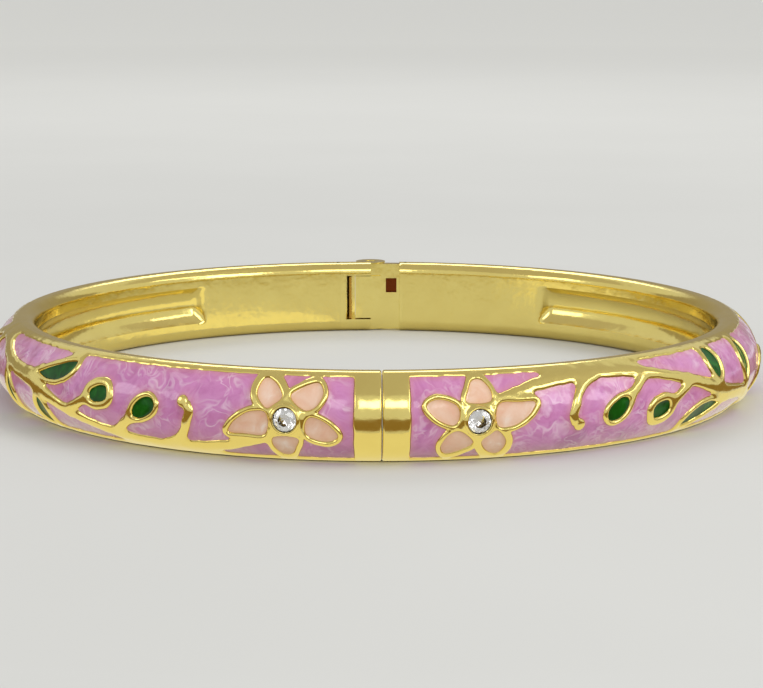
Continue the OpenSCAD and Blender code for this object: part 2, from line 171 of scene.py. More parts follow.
def smooth(rows, steps):
    """A smooth curve through rows of numbers."""
    rows = np.array(rows, float)
    last = len(rows) - 1
    points = [spline_at(rows[max(i - 1, 0)], rows[i], rows[i + 1], rows[min(i + 2, last)], k / steps)
              for i in range(last) for k in range(steps)]
    return np.array(points + [rows[last]])


def closed_smooth(rows, steps):
    """The same curve, closed into an outline."""
    rows = np.array(rows, float)
    n = len(rows)
    return np.array([spline_at(rows[i - 1], rows[i], rows[(i + 1) % n], rows[(i + 2) % n], k / steps)
                     for i in range(n) for k in range(steps)])


def strip(rows):
    """Both sides of a strip whose rows give the middle and the width."""
    rows = np.array(rows, float)
    along = np.gradient(rows[:, :2], axis=0)
    side = np.stack([-along[:, 1], along[:, 0]], 1) / np.linalg.norm(along, axis=1)[:, None]
    half = side * rows[:, 2:3] / 2
    return np.concatenate([rows[:, :2] + half, (rows[:, :2] - half)[::-1]])


def leaf_points(long, wide, base, tip, bow, steps=12):
    """A leaf along the first axis, pointed at its far end."""
    peak = base / (base + tip)
    top = peak ** base * (1 - peak) ** tip
    points = []
    for k in range(2 * steps):
        t = (1 - math.cos(math.pi * k / steps)) / 2
        half = wide / 2 * t ** base * (1 - t) ** tip / top
        points.append((long * (t - 0.5), (half if k < steps else -half) + 4 * bow * long * t * (1 - t)))
    return np.array(points)


def turned(points, degrees):
    """Flat points turned about the middle."""
    c, s = math.cos(math.radians(degrees)), math.sin(math.radians(degrees))
    return points @ np.array([[c, s], [-s, c]])


def spray_outlines():
    """Every outline of the front spray: (kind, outline or circle, how far its gold line reaches past it)."""
    flower = np.array([FRONT_CAP + FLOWER_ALONG * SPRAY_L, FLOWER_UP * BAND_H])
    shapes = [("stone", (flower, COLLAR_R + LINE_W), 0.0)]
    for outline, line in zip(PETALS, PETAL_LINES):
        shapes.append(("petal", flower + FLOWER_R * closed_smooth(outline, CURVE_STEPS), line * LINE_W))
    for along, up, long, wide, turn, base, tip, bow, line, foot_along, foot_up in LEAVES:
        at = np.array([FRONT_CAP + along * SPRAY_L, up * BAND_H])
        leaf = turned(leaf_points(LEAF_L * long, LEAF_W * wide, base, tip, bow), turn)
        shapes.append(("leaf", at + leaf, line * LINE_W))
        end = turned(np.array([[LEAF_L * long / 2, 0.0]]), turn)[0]
        foot = np.array([(foot_along - along) * SPRAY_L, (foot_up - up) * BAND_H])
        run = (foot - end) / np.linalg.norm(foot - end)
        side = np.array([-run[1], run[0]])
        root = end - 0.25 * run
        stalk = [root - LINE_W * side, foot - VINE_W / 3 * side,
                 foot + VINE_W / 3 * side, root + LINE_W * side]
        shapes.append(("line", at + np.array(stalk), 0.0))
    tendril = [(FRONT_CAP + a * SPRAY_L, u * BAND_H, w * TENDRIL_W) for a, u, w in TENDRIL]
    shapes.append(("line", strip(smooth(tendril, CURVE_STEPS)), 0.0))
    knob = np.array([FRONT_CAP + KNOB[0] * SPRAY_L, KNOB[1] * BAND_H])
    shapes.append(("knob", (knob, KNOB[2] * TENDRIL_W), 0.0))
    return shapes


def half_outlines():
    """The outlines of both sprays of a half band and the vine between them."""
    front = spray_outlines()
    far = np.array([2 * MIDDLE, BAND_H])
    back = [(kind, (far - shape[0], shape[1]) if kind in ("stone", "knob") else far - shape, line)
            for kind, shape, line in front]
    rows = VINE + [(1, 0.5, 0.68)] + [(2 - a, 1 - u, w) for a, u, w in VINE[::-1]]
    path = [(FRONT_CAP + a * SPRAY_L, u * BAND_H, w * VINE_W) for a, u, w in smooth(rows, CURVE_STEPS)]
    return front + back + [("line", strip(path), 0.0)]


# Depths inside the outlines, which make the relief

REACH = 1.2


def inside_depth(outline, s, z):
    """How deep each point lies inside an outline; below zero outside it, and no lower than -REACH."""
    depth = np.full(s.shape, -REACH)
    low, high = outline.min(0) - REACH, outline.max(0) + REACH
    near = (s > low[0]) & (s < high[0]) & (z > low[1]) & (z < high[1])
    x, y = s[near], z[near]
    best = np.full(x.shape, REACH ** 2)
    inside = np.zeros(x.shape, bool)
    for (ax, ay), (bx, by) in zip(outline, np.roll(outline, -1, axis=0)):
        ex, ey = bx - ax, by - ay
        t = np.clip(((x - ax) * ex + (y - ay) * ey) / (ex * ex + ey * ey + 1e-12), 0, 1)
        best = np.minimum(best, (x - ax - t * ex) ** 2 + (y - ay - t * ey) ** 2)
        if ay != by:
            inside ^= ((ay > y) != (by > y)) & (x < ex * (y - ay) / ey + ax)
    depth[near] = np.where(inside, np.sqrt(best), -np.sqrt(best))
    return depth


def round_depth(middle, radius, s, z):
    return radius - np.hypot(s - middle[0], z - middle[1])


def joined(a, b, web):
    """The union of two depths, with a web where they meet."""
    near = np.clip(web - np.abs(a - b), 0, None) / web
    return np.maximum(a, b) + near * near * web / 4


def wobble(s, z, size, phase):
    """A soft unevenness between -1 and 1, with waves of about the given size."""
    k = 2 * math.pi / size
    return (np.sin(k * (0.9 * s + 0.5 * z) + phase) + np.sin(k * (0.6 * s - 1.1 * z) + 2.1 * phase)
            + np.sin(k * (-1.3 * s + 0.8 * z) + 3.7 * phase)) / 3


def depths(shapes, s, z):
    """For each point, how deep it lies in gold (below zero in enamel), in a petal and in a leaf."""
    plain = np.maximum(np.maximum(RIM - z, z - (BAND_H - RIM)),
                       np.maximum(FRONT_CAP - s, s - (HALF_ARC - HINGE_CAP)))
    gold = plain + LINE_WOBBLE * wobble(s, z, 2.7, 0.6)
    petal = np.full(s.shape, -REACH)
    leaf = np.full(s.shape, -REACH)
    for kind, shape, line in shapes:
        if kind in ("stone", "knob"):
            gold = joined(gold, round_depth(shape[0], shape[1], s, z), PETAL_WEB)
            continue
        depth = inside_depth(shape, s, z)
        gold = joined(gold, depth + line, PETAL_WEB if kind == "petal" else LINE_WEB)
        if kind == "petal":
            petal = np.maximum(petal, depth)
        elif kind == "leaf":
            leaf = np.maximum(leaf, depth)
    for kind, shape, line in shapes:
        if kind == "stone":
            petal = np.minimum(petal, -round_depth(shape[0], COLLAR_R + LINE_W / 4, s, z))
    cell = np.maximum(petal, leaf) + LINE_WOBBLE * wobble(s, z, 1.9, 1.3)
    return np.minimum(gold + LINE_WOBBLE * wobble(s, z, 1.4, 2.2), -cell), petal, leaf


def contours(field, s_axis, z_axis, level):
    """Lines of one level through a grid of numbers, as lists of points, with True where a line is closed."""
    f = field - level + 1e-9
    up = f > 0
    cuts = {}

    def cut(i, j, across):
        key = (i, j, across)
        if key not in cuts:
            k, m = (i + 1, j) if across else (i, j + 1)
            t = f[i, j] / (f[i, j] - f[k, m])
            cuts[key] = (s_axis[i] + t * (s_axis[k] - s_axis[i]), z_axis[j] + t * (z_axis[m] - z_axis[j]))
        return key

    links = {}
    crossed = np.argwhere((up[:-1, :-1] != up[1:, :-1]) | (up[:-1, :-1] != up[:-1, 1:])
                          | (up[:-1, :-1] != up[1:, 1:]))
    for i, j in crossed.tolist():
        found = []
        if up[i, j] != up[i + 1, j]:
            found.append(cut(i, j, True))
        if up[i + 1, j] != up[i + 1, j + 1]:
            found.append(cut(i + 1, j, False))
        if up[i, j + 1] != up[i + 1, j + 1]:
            found.append(cut(i, j + 1, True))
        if up[i, j] != up[i, j + 1]:
            found.append(cut(i, j, False))
        pairs = [found] if len(found) == 2 else [found[:2], found[2:]]
        if len(found) == 4 and (f[i:i + 2, j:j + 2].sum() > 0) == up[i, j]:
            pairs = [[found[0], found[1]], [found[2], found[3]]]
        elif len(found) == 4:
            pairs = [[found[1], found[2]], [found[3], found[0]]]
        for a, b in pairs:
            links.setdefault(a, []).append(b)
            links.setdefault(b, []).append(a)
    lines = []
    left = dict.fromkeys(sorted(links, key=lambda key: len(links[key])))
    while left:
        key = next(iter(left))
        walk, here = [], key
        while here is not None and here in left:
            del left[here]
            walk.append(cuts[here])
            here = next((n for n in links[here] if n in left), None)
        lines.append((np.array(walk), len(links[key]) == 2))
    return lines


def evenly(points, closed, step):
    """The same line with points an even step apart."""
    if closed:
        points = np.concatenate([points, points[:1]])
    run = np.concatenate([[0], np.cumsum(np.hypot(*np.diff(points, axis=0).T))])
    count = max(8 if closed else 2, round(run[-1] / step))
    at = np.linspace(0, run[-1], count + 1)
    even = np.stack([np.interp(at, run, points[:, 0]), np.interp(at, run, points[:, 1])], 1)
    return even[:-1] if closed else even


# The face of a half band, unrolled: arc length s from the front line, height z

def eased(x):
    """From 0 to 1 with a soft start and a soft stop."""
    x = np.clip(x, 0, 1)
    return x * x * (3 - 2 * x)


def rounding(depth, radius):
    """How far a rounded edge has dropped at a depth from its outline."""
    left = radius - np.clip(depth, 0, radius)
    return radius - np.sqrt(np.maximum(radius * radius - left * left, 0))


def gold_height(depth, s, z, stones):
    """Height of the gold over the band's plain face."""
    edge = np.minimum(z, BAND_H - z)
    radius = RIM_ROUND + (LINE_ROUND - RIM_ROUND) * eased((edge - 0.2) / 0.5)
    height = -rounding(depth, radius) + LINE_CROWN * eased(depth / 0.5) * eased((edge - 0.3) / 0.6)
    raised = np.minimum(eased((s - FRONT_CAP) / 0.6), eased((HALF_ARC - HINGE_CAP - s) / 0.6))
    height += raised * (LINE_PROUD * eased((edge - 0.2) / 0.4) + FACE_WOBBLE * wobble(s, z, 2.2, 0.9))
    for middle, _ in stones:
        r = np.hypot(s - middle[0], z - middle[1])
        collar = COLLAR_RISE + LINE_PROUD - COLLAR_GROOVE * ((r - 1.0) / 0.09).clip(-1, 1) ** 2
        collar = collar - rounding(COLLAR_R - r, COLLAR_ROUND)
        height = np.where(r < COLLAR_R - 0.001, np.maximum(height, collar), height)
    return height


def enamel_height(depth, s, z):
    """Height of the enamel: it creeps up the gold round each cell and lies a little lower in the middle."""
    creep = ENAMEL_CREEP * np.exp(np.minimum(depth, 0) / CREEP_RUN)
    return -ENAMEL_DROP + creep + FACE_WOBBLE * wobble(s, z, 3.4, 1.7)


def on_face(s, z, over, side="left"):
    """The place of face points in the bangle, over the plain face by the given height."""
    up = z - BAND_H / 2
    root = np.sqrt(FACE_R * FACE_R - up * up)
    r = OUTER_R - FACE_R + (FACE_R + over) * root / FACE_R
    return around(s, r, BAND_H / 2 + (FACE_R + over) * up / FACE_R, side)


def around(s, r, z, side="left"):
    """Points at an arc length, a radius and a height; the right half is the left one turned half round."""
    turn = s / OUTER_R
    flip = 1 if side == "left" else -1
    high = z if side == "left" else BAND_H - z
    return np.stack(np.broadcast_arrays(-flip * r * np.sin(turn), -r * np.cos(turn), high), -1)


# Arc lengths of the rows: close together in the front end's rounding, even from there to the hinge end
START = FRONT_GAP / 2
ROUND_ROWS = [START + END_ROUND * (1 - math.cos(math.radians(a))) for a in range(0, 91, 15)]
S_ROWS = np.array(ROUND_ROWS + list(np.linspace(START + END_ROUND + 0.15, SHEET_END, SHEET_ROWS)))


def near_stone(points, stones, reach):
    """Which points lie nearer than the reach to the middle of a stone."""
    return np.any([np.hypot(*(points - middle).T) < reach for middle, _ in stones], axis=0)


def face_net(shapes):
    """One flat net over a half band's whole face, with points along every line of the relief."""
    s_axis = np.arange(START, SHEET_END + GRID_STEP, GRID_STEP)
    z_axis = np.arange(0, BAND_H + GRID_STEP / 2, GRID_STEP)
    s_grid, z_grid = np.meshgrid(s_axis, z_axis, indexing="ij")
    field, _, _ = depths(shapes, s_grid, z_grid)
    stones = [shape for kind, shape, _ in shapes if kind == "stone"]
    low, high = SHEET_EDGE, BAND_H - SHEET_EDGE
    points, edges = [], []

    def add(line, closed):
        first, n = len(points), len(line)
        points.extend(map(tuple, line))
        edges.extend((first + k, first + (k + 1) % n) for k in range(n if closed else n - 1))

    end_rows = np.linspace(low, high, END_ROWS)[1:-1]
    add([(s, low) for s in S_ROWS], False)
    add([(s, high) for s in S_ROWS], False)
    add([(S_ROWS[0], z) for z in end_rows], False)
    add([(S_ROWS[-1], z) for z in end_rows], False)
    for s in S_ROWS[1:len(ROUND_ROWS) + 1]:
        points.extend((s, z) for z in end_rows)
    for level in LINE_ROWS + ENAMEL_ROWS:
        step = CONTOUR_STEP if level < LINE_ROUND - 0.01 else WIDE_STEP
        for line, closed in contours(field, s_axis, z_axis, level):
            if len(line) < 6:
                continue
            even = evenly(line, closed, step)
            keep = (even[:, 1] > low + 0.03) & (even[:, 1] < high - 0.03)
            keep &= (even[:, 0] > START + 0.6) & (even[:, 0] < SHEET_END - 0.2)
            if level > 0:
                keep &= ~near_stone(even, stones, COLLAR_R + 0.03)
            if keep.all():
                add(even, closed)
                continue
            runs = np.flatnonzero(keep)
            for run in np.split(runs, np.flatnonzero(np.diff(runs) > 1) + 1):
                if len(run) > 1:
                    add(even[run], False)
    a = np.arange(COLLAR_POINTS) * 2 * math.pi / COLLAR_POINTS
    for middle, _ in stones:
        for r in COLLAR_ROWS:
            add(np.stack([middle[0] + r * np.cos(a), middle[1] + r * np.sin(a)], 1), True)

    # single points between the lines, every second row shifted by half a step
    fill_s, fill_z = np.meshgrid(np.arange(START + 0.6, SHEET_END - 0.1, FILL_ALONG),
                                 np.arange(low + 0.2, high, FILL_UP), indexing="ij")
    fill_s = fill_s + FILL_ALONG / 2 * (np.arange(fill_z.shape[1]) % 2)
    fill_s, fill_z = fill_s.ravel(), fill_z.ravel()
    here, _, _ = depths(shapes, fill_s, fill_z)
    keep = np.min(np.abs(here[:, None] - np.array(LINE_ROWS + ENAMEL_ROWS)), axis=1) > 0.05
    keep &= (fill_z > low + 0.15) & (fill_z < high - 0.15) & (fill_s < SHEET_END - 0.15)
    keep &= ~near_stone(np.stack([fill_s, fill_z], 1), stones, COLLAR_R + 0.08)
    points.extend(zip(fill_s[keep].tolist(), fill_z[keep].tolist()))
    found = delaunay_2d_cdt([Vector(p) for p in points], edges, [], 0, 1e-5)
    flat, faces = np.array([tuple(v) for v in found[0]]), np.array(found[2])
    a, b, c = (flat[faces[:, k]] for k in range(3))
    area = np.cross(b - a, c - a)
    faces = np.where((area > 0)[:, None], faces, faces[:, ::-1])[np.abs(area) > 1e-7]
    return flat, faces, stones


class Shell:
    """Collects points and faces of one solid."""

    def __init__(self):
        self.points, self.faces, self.depth = [], [], []
        self.count = 0

    def add(self, points, depth=0.0):
        first = self.count
        self.points.append(np.asarray(points, float).reshape(-1, 3))
        self.count += len(self.points[-1])
        self.depth.append(np.broadcast_to(np.asarray(depth, float), (len(self.points[-1]),)))
        return first

    def add_faces(self, faces):
        self.faces.extend(tuple(int(i) for i in face) for face in faces)

    def mesh(self, name, scale=MM):
        """A Blender mesh in metres with outward faces and the depth kept as an attribute."""
        data = bpy.data.meshes.new(name)
        data.from_pydata(np.concatenate(self.points) * scale, [], self.faces)
        kept = data.attributes.new("recess", "FLOAT", "POINT")
        kept.data.foreach_set("value", np.concatenate(self.depth).astype(np.float32))
        data.validate()
        work = bmesh.new()
        work.from_mesh(data)
        bmesh.ops.delete(work, geom=[v for v in work.verts if not v.link_faces], context="VERTS")
        bmesh.ops.remove_doubles(work, verts=work.verts, dist=1e-5 * scale)
        if work.calc_volume(signed=True) < 0:
            bmesh.ops.reverse_faces(work, faces=work.faces)
        work.to_mesh(data)
        work.free()
        return data


def boundary_edges(faces):
    """Edges that only one face uses, in that face's direction."""
    edges = np.concatenate([faces[:, [0, 1]], faces[:, [1, 2]], faces[:, [2, 0]]])
    keys = np.sort(edges, axis=1)
    _, back, times = np.unique(keys, axis=0, return_inverse=True, return_counts=True)
    return edges[times[back.ravel()] == 1]


def channel_cut(s, z):
    """Depth of the channel in the inner wall, with scooped ends."""
    up = np.abs(z - BAND_H / 2)
    cut = CHANNEL_D - CHANNEL_R + np.sqrt(np.maximum(CHANNEL_R ** 2 - up ** 2, 0))
    ends = np.minimum(s - CHANNEL_FROM, HALF_ARC - CHANNEL_FROM - s)
    return np.maximum(cut, 0) * eased(ends / 1.2)


def wall_path():
    """The section from the face's lower edge round the inside to its upper edge: radius, height, and the
    direction in which an end's rounding draws each point in."""
    lip = OUTER_R - FACE_BULGE
    path = []
    for t in (0.33, 0.66, 1.0):
        path.append((lip - 0.062 * t * t + 0.03 * (1 - t) ** 2, 0.045 * (1 - t) ** 2, -0.3 * (1 - t), 1))
    path.append((lip - 0.15, 0, 0, 1))
    path.append((INNER_R + EDGE_ROUND + 0.15, 0, 0, 1))
    for a in range(0, 91, 9):
        c, s = math.cos(math.radians(a)), math.sin(math.radians(a))
        path.append((INNER_R + EDGE_ROUND * (1 - s), EDGE_ROUND * (1 - c), s, c))
    inner = [(INNER_R, z, 1, 0) for z in np.linspace(EDGE_ROUND, BAND_H - EDGE_ROUND, WALL_ROWS)[1:-1]]
    mirror = [(r, BAND_H - z, x, -y) for r, z, x, y in reversed(path)]
    return np.array(path + inner + mirror)


def gold_half(shapes, net, side):
    """The cast half band from its front end to its plain hinge end, as one solid."""
    flat, faces, stones = net
    s, z = flat.T
    middle = flat[faces].mean(1)
    depth_at, _, _ = depths(shapes, middle[:, 0], middle[:, 1])
    bored = near_stone(middle, stones, BORE_R - 0.002)
    is_gold = (depth_at > 0) | bored
    depth, _, _ = depths(shapes, s, z)
    inset = rounding(s - START, END_ROUND)
    shell = Shell()
    height = gold_height(np.maximum(depth, 0), s, z, stones)
    # the recess drives painted shade in the gold: the gold low between the lines is painted deeper and
    # darker
    recess = np.clip(-height / ENAMEL_DROP, 0, 1)
    top = shell.add(on_face(s, z, height - inset, side), recess)
    shell.add_faces(faces[is_gold & ~bored][:, ::-1] + top)
    floor = shell.add(on_face(s, z, np.full(len(s), -CELL_DEPTH), side), 1.0)
    shell.add_faces(faces[~is_gold][:, ::-1] + floor)
    walls = boundary_edges(faces[~is_gold])
    shell.add_faces([(top + a, top + b, floor + b, floor + a) for a, b in walls])

    # the bores under the stones, each closed by a cup
    for at, _ in stones:
        ring = np.flatnonzero(np.abs(np.hypot(*(flat - at).T) - BORE_R) < 1e-3)
        ring = ring[np.argsort(np.arctan2(z[ring] - at[1], s[ring] - at[0]))]
        rows = [list(ring + top)]
        for r, drop in CUP:
            place = at + (flat[ring] - at) * r / BORE_R
            first = shell.add(on_face(place[:, 0], place[:, 1], np.full(len(ring), -drop), side), 0.5)
            rows.append(list(range(first, first + len(ring))))
        n = len(ring)
        for a, b in zip(rows, rows[1:]):
            shell.add_faces([(a[k], b[k], b[(k + 1) % n], a[(k + 1) % n]) for k in range(n)])
        shell.faces.append(tuple(rows[-1]))

    # the walls inside, above and below, row by row
    low = np.flatnonzero(np.abs(z - SHEET_EDGE) < 1e-4)
    high = np.flatnonzero(np.abs(z - (BAND_H - SHEET_EDGE)) < 1e-4)
    low, high = low[np.argsort(s[low])], high[np.argsort(s[high])]
    path = wall_path()
    rows = []
    for k, here in enumerate(S_ROWS):
        draw = rounding(here - START, END_ROUND)
        r = path[:, 0] + draw * path[:, 2]
        up = path[:, 1] + draw * path[:, 3]
        inner = np.abs(path[:, 2]) > 0.99
        r = r + np.where(inner, channel_cut(here, up), 0)
        # the inside and plain walls get a little painted shade through the recess
        first = shell.add(around(np.full(len(r), here), r, up, side), 0.15)
        rows.append([low[k] + top] + list(range(first, first + len(path))) + [high[k] + top])
    for a, b in zip(rows, rows[1:]):
        shell.add_faces([(a[k], a[k + 1], b[k + 1], b[k]) for k in range(len(a) - 1)])
    for end, row in ((S_ROWS[0], rows[0]), (S_ROWS[-1], rows[-1])):
        rise = np.flatnonzero(np.abs(s - end) < 1e-4)
        rise = rise[np.argsort(z[rise])]
        loop = [int(i) + top for i in rise] + row[-2:0:-1]
        shell.faces.append(tuple(loop if end == S_ROWS[0] else loop[::-1]))
    return shell.mesh(side + " gold half")


GROUND, PETAL, LEAF = 0, 1, 2


def enamel_pieces(shapes, net, side, group):
    """The enamel of one colour in a half band, as closed pieces that fill their cells."""
    flat, faces, stones = net
    middle = flat[faces].mean(1)
    depth, petal, leaf = depths(shapes, middle[:, 0], middle[:, 1])
    cell = np.where(petal > leaf, PETAL, LEAF)
    kind = np.where(np.maximum(petal, leaf) > 0, cell, GROUND)
    mine = faces[(depth <= 0) & ~near_stone(middle, stones, COLLAR_R) & (kind == group)]
    used, back = np.unique(mine, return_inverse=True)
    mine = back.reshape(mine.shape)
    s, z = flat[used].T
    depth, _, _ = depths(shapes, s, z)
    shell = Shell()
    top = shell.add(on_face(s, z, enamel_height(depth, s, z), side), np.clip(-depth / 0.3, 0, 1))
    floor = shell.add(on_face(s, z, np.full(len(s), -ENAMEL_FLOOR), side), 0)
    shell.add_faces(mine[:, ::-1] + top)
    shell.add_faces(mine + floor)
    shell.add_faces([(top + a, top + b, floor + b, floor + a) for a, b in boundary_edges(mine)])
    return shell.mesh(side + " enamel")


def into_scene(name, data):
    """A new object in the scene."""
    piece = bpy.data.objects.new(name, data)
    bpy.context.scene.collection.objects.link(piece)
    return piece


def final_mesh(piece):
    """A piece's mesh as its modifiers leave it."""
    return bpy.data.meshes.new_from_object(piece.evaluated_get(bpy.context.evaluated_depsgraph_get()))


def section_loop():
    """The whole section of the plain band as a closed loop of radius and height."""
    path = wall_path()
    z = np.linspace(SHEET_EDGE, BAND_H - SHEET_EDGE, WALL_ROWS)[::-1]
    face = on_face(np.zeros(len(z)), z, np.full(len(z), -TUCK))
    return np.concatenate([path[:, :2], np.stack([-face[:, 1], face[:, 2]], 1)])


def plain_length(start, end, side):
    """A plain length of the band between two arc lengths, in millimetres, as a temporary object."""
    loop = section_loop()
    n = len(loop)
    rows = []
    shell = Shell()
    for s in np.arange(start, end + 0.1, 0.25):
        first = shell.add(around(np.full(n, s), loop[:, 0], loop[:, 1], side))
        rows.append(list(range(first, first + n)))
    for a, b in zip(rows, rows[1:]):
        shell.add_faces([(a[k], a[(k + 1) % n], b[(k + 1) % n], b[k]) for k in range(n)])
    shell.faces += [tuple(rows[0][::-1]), tuple(rows[-1])]
    return into_scene("plain length", shell.mesh("plain length", 1.0))


def tool_from(work, name):
    """A finished tool that cuts or adds."""
    data = bpy.data.meshes.new(name)
    work.to_mesh(data)
    work.free()
    return into_scene(name, data)


def block(low, high):
    """A box between two corners."""
    work = bmesh.new()
    bmesh.ops.create_cube(work, size=1)
    low, high = Vector(low), Vector(high)
    for v in work.verts:
        v.co = Vector(a + (b - a) * (c + 0.5) for a, b, c in zip(low, high, v.co))
    return tool_from(work, "block")


def round_bar(r, low, high):
    """A round bar on the pin's line."""
    work = bmesh.new()
    bmesh.ops.create_cone(work, cap_ends=True, segments=72, radius1=r, radius2=r, depth=high - low)
    bmesh.ops.translate(work, verts=work.verts, vec=(PIN_X, PIN_Y, (low + high) / 2))
    return tool_from(work, "round bar")


def carve(piece, *steps):
    """Cuts or adds tools one after another; each step is an operation and its tool."""
    for operation, tool in steps:
        change = piece.modifiers.new("carve", "BOOLEAN")
        change.operation = operation
        change.solver = "EXACT"
        change.object = tool
        made = final_mesh(piece)
        piece.modifiers.clear()
        piece.data = made
        bpy.data.objects.remove(tool)
    return piece


def softened(piece):
    """Takes the sharpness off a piece's edges and returns its mesh in metres."""
    edge = piece.modifiers.new("soft edges", "BEVEL")
    edge.width = SOFT_EDGE
    edge.segments = 2
    edge.limit_method = "ANGLE"
    edge.angle_limit = math.radians(SHARP)
    made = final_mesh(piece)
    bpy.data.objects.remove(piece)
    made.transform(Matrix.Scale(MM, 4))
    return made


def paint_hollow_shade(data, low, high):
    """Marks the points deep inside a hollow, given by two corners in millimetres, for painted shade
    that makes them near black.
    """
    old = data.attributes.get("recess")
    if old:
        data.attributes.remove(old)
    kept = data.attributes.new("recess", "FLOAT", "POINT")
    points = np.empty(3 * len(data.vertices), np.float32)
    data.vertices.foreach_get("co", points)
    points = points.reshape(-1, 3) / MM
    inside = (points > np.array(low) - 0.03).all(1) & (points < np.array(high) + 0.03).all(1)
    inside &= points[:, 1] > low[1] + STEP_IN + 0.1
    kept.data.foreach_set("value", np.where(inside, 2.0, 0.0).astype(np.float32))


# The hinge's two ends. Tools that cut right through the band reach past it, to BELOW, ABOVE, IN and OUT.

HINGE_FROM = SHEET_END - 0.3
REACH_ROUND = KNUCKLE_R + HINGE_GAP
BELOW, ABOVE = -1, BAND_H + 1
IN, OUT, FAR = INNER_R - 1, OUTER_R + 1, 20.0
CUT, ADD = "DIFFERENCE", "UNION"


def left_hinge_end():
    """The left half's end: two round lugs, room for the knuckle between them, and the spring's window."""
    low, high = LUG_H, BAND_H - LUG_H
    left = PIN_X - REACH_ROUND
    return softened(carve(
        plain_length(HINGE_FROM, HALF_ARC + 0.8, "left"),
        (CUT, block((PIN_X, 0, BELOW), (FAR, OUT + 1, ABOVE))),
        (ADD, round_bar(KNUCKLE_R, LUG_SINK, low)),
        (ADD, round_bar(KNUCKLE_R, high, BAND_H - LUG_SINK)),
        (CUT, round_bar(REACH_ROUND, low, high)),
        (CUT, block((left, PIN_Y, low), (PIN_X, PIN_Y + 2 * KNUCKLE_R, high))),
        (CUT, block((left - WINDOW_W, IN, low), (PIN_X + HINGE_GAP, PIN_Y, high))),
        (CUT, round_bar(PIN_R + 0.03, BELOW, ABOVE))))


def right_hinge_end():
    """The right half's end: a neck set back from the inner wall, the knuckle, and the small socket."""
    low, high = LUG_H + HINGE_GAP, BAND_H - LUG_H - HINGE_GAP
    left = PIN_X - 1
    behind = carve(block((left, IN, BELOW), (STEP_SIDE, INNER_R + STEP_IN, ABOVE)),
                   (CUT, round_bar(KNUCKLE_R, BELOW - 1, ABOVE + 1)))
    made = softened(carve(
        plain_length(HINGE_FROM, HALF_ARC - PIN_X, "right"),
        (CUT, behind),
        (CUT, block((left, IN, BELOW), (STEP_SIDE, OUT, STEP_DOWN))),
        (CUT, block((left, IN, BAND_H - STEP_DOWN), (STEP_SIDE, OUT, ABOVE))),
        (CUT, round_bar(REACH_ROUND, BELOW, low)),
        (CUT, round_bar(REACH_ROUND, high, ABOVE)),
        (CUT, block((PIN_X - FAR, 0, BELOW), (PIN_X, OUT, ABOVE))),
        (ADD, round_bar(KNUCKLE_R, low, high)),
        (ADD, block((PIN_X - KNUCKLE_R - 0.07, INNER_R + KNUCKLE_FLAT, low), (PIN_X + 1, PIN_Y, high))),
        (CUT, round_bar(PIN_R + 0.06, BELOW, ABOVE)),
        (CUT, block(*SOCKET))))
    # painted shade: the inside of the socket is painted near black
    paint_hollow_shade(made, *SOCKET)
    return made


def together(*meshes):
    """One mesh from several."""
    work = bmesh.new()
    for data in meshes:
        work.from_mesh(data)
    work.to_mesh(meshes[0])
    work.free()
    return meshes[0]


# Nodes of the stones' tree and of the materials

def feed(tree, node, feeds):
    """Gives a node's inputs another node's output, or a fixed value."""
    for name, value in feeds.items():
        if isinstance(value, bpy.types.NodeSocket):
            tree.links.new(value, node.inputs[name])
        else:
            node.inputs[name].default_value = value


def add_node(tree, kind, feeds, **settings):
    """A new node with its settings and inputs."""
    node = tree.nodes.new(kind)
    for name, value in settings.items():
        setattr(node, name, value)
    feed(tree, node, feeds)
    return node


def math_node(tree, operation, *values):
    """What a sum of one to three numbers gives."""
    return add_node(tree, "ShaderNodeMath", dict(enumerate(values)), operation=operation).outputs[0]


# The stones

def brilliant():
    """A round brilliant with its axis up and its girdle at the origin; the faces below are silvered."""
    crown, girdle, depth = 0.25 * STONE_H, 0.06 * STONE_H, 0.75 * STONE_H
    table, star, low_star = 0.55 * STONE_R, 0.78 * STONE_R, 0.24 * STONE_R
    cosine = math.cos(math.pi / 8)
    star_up = crown * (STONE_R - star * cosine) / (STONE_R - table)
    low_up = -girdle - (depth - girdle) * (1 - low_star * cosine / STONE_R)

    def ring(count, r, z, first=0.0):
        angles = [first + 2 * math.pi * k / count for k in range(count)]
        return [(r * math.cos(a), r * math.sin(a), z) for a in angles]

    points = (ring(8, table, crown) + ring(8, star, star_up, math.pi / 8) + ring(16, STONE_R, 0)
              + ring(16, STONE_R, -girdle) + ring(8, low_star, low_up, math.pi / 8) + [(0, 0, -depth)])
    # where each ring begins: table, stars, girdle above and below, lower stars, and the point
    t, m, g, b, n, tip = 0, 8, 16, 32, 48, 56
    faces = [tuple(range(8))]
    for k in range(8):
        after, before = (k + 1) % 8, (k - 1) % 8
        odd, even = 2 * k + 1, (2 * k + 2) % 16
        faces += [(t + k, m + k, t + after), (t + k, m + before, g + 2 * k, m + k),
                  (m + k, g + 2 * k, g + odd), (m + k, g + odd, g + even)]
        faces += [(n + k, b + odd, b + 2 * k), (n + k, b + even, b + odd),
                  (tip, n + k, b + 2 * k, n + before)]
    faces += [(g + k, b + k, b + (k + 1) % 16, g + (k + 1) % 16) for k in range(16)]
    data = bpy.data.meshes.new("brilliant")
    data.from_pydata(np.array(points) * MM, [], faces)
    back = data.attributes.new("silvered", "BOOLEAN", "FACE")
    for face in data.polygons:
        back.data[face.index].value = face.center.z < -girdle * MM
    return data


